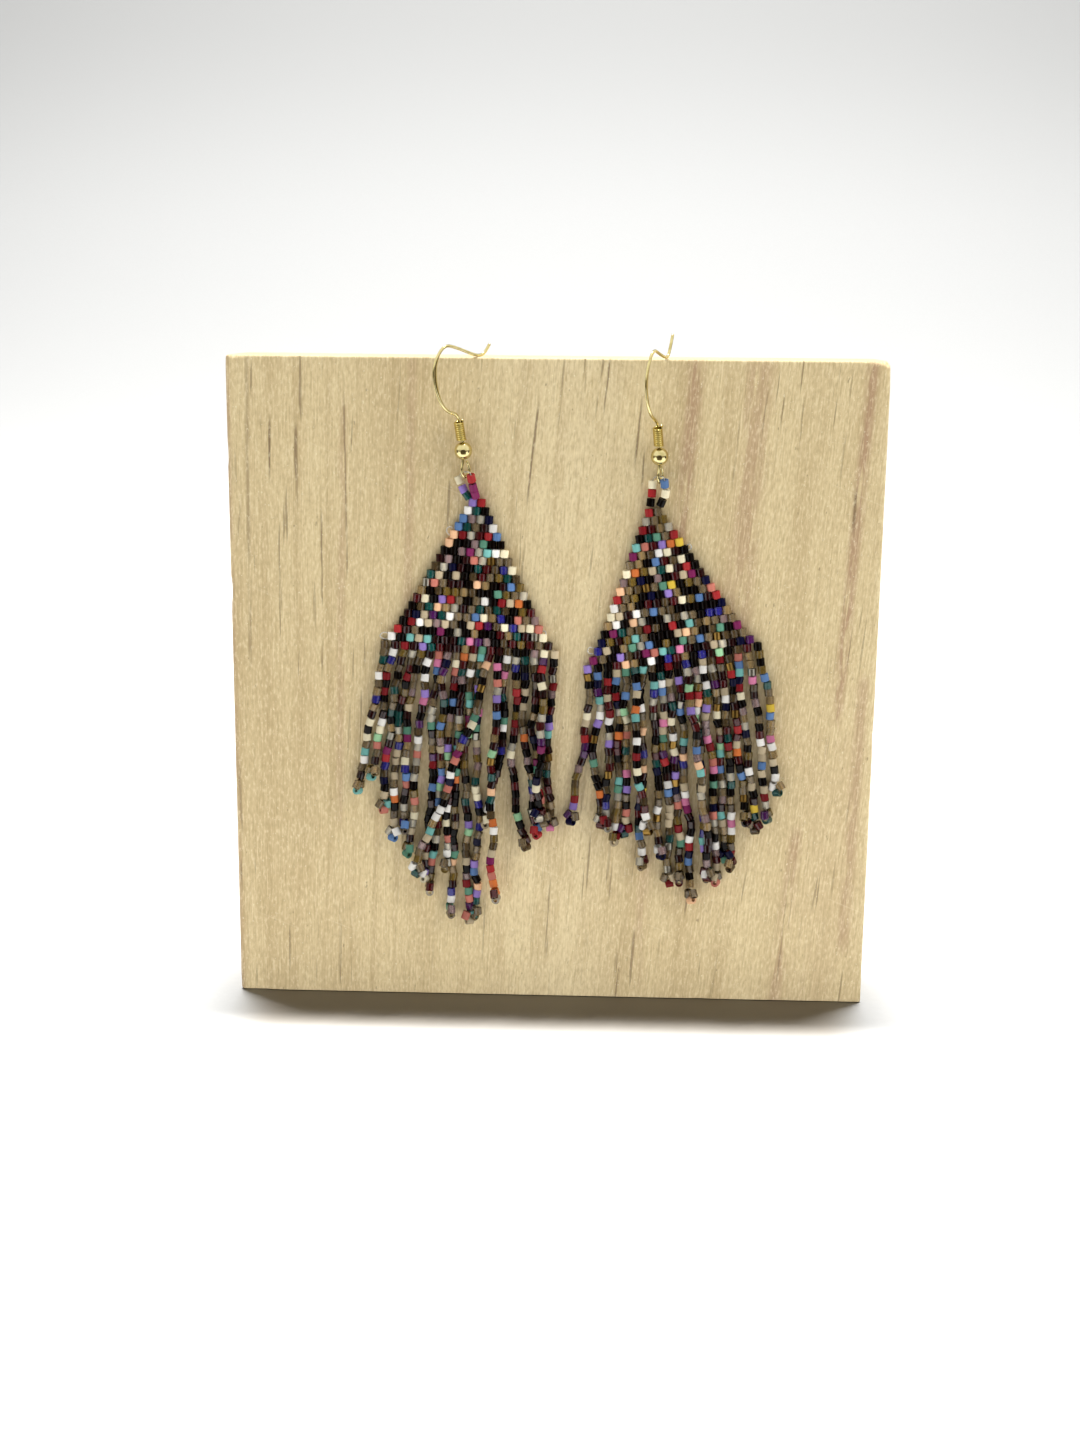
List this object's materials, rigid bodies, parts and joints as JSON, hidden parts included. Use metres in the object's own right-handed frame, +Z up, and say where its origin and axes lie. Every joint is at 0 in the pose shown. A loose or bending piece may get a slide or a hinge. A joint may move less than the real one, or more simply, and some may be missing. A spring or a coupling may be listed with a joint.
{
  "type": "pair of beaded fringe earrings on a wooden display block",
  "caption": "Pair of seed-bead earrings, each a woven triangle with hanging fringe on a ball-and-coil ear hook, hung over the top edge of a plain pine block.",
  "frame": {"origin": "centre of the block's resting face", "axes": "+Z up, +X to the viewer's right, -Y towards the viewer, on the side the earrings hang"},
  "size_m": [0.1142, 0.0267, 0.1199],
  "materials": {
    "pine": "planed, bare",
    "beads": "mixed colours, glossy",
    "gold_wire": "bright plated"
  },
  "bodies": {
    "root": {"display_block": "pine", "left_beaded_fringe": "beads", "left_ear_hook": "gold_wire", "left_hook_ball": "gold_wire", "left_hook_coil": "gold_wire", "right_beaded_fringe": "beads", "right_ear_hook": "gold_wire", "right_hook_ball": "gold_wire", "right_hook_coil": "gold_wire"}
  },
  "joints": []
}
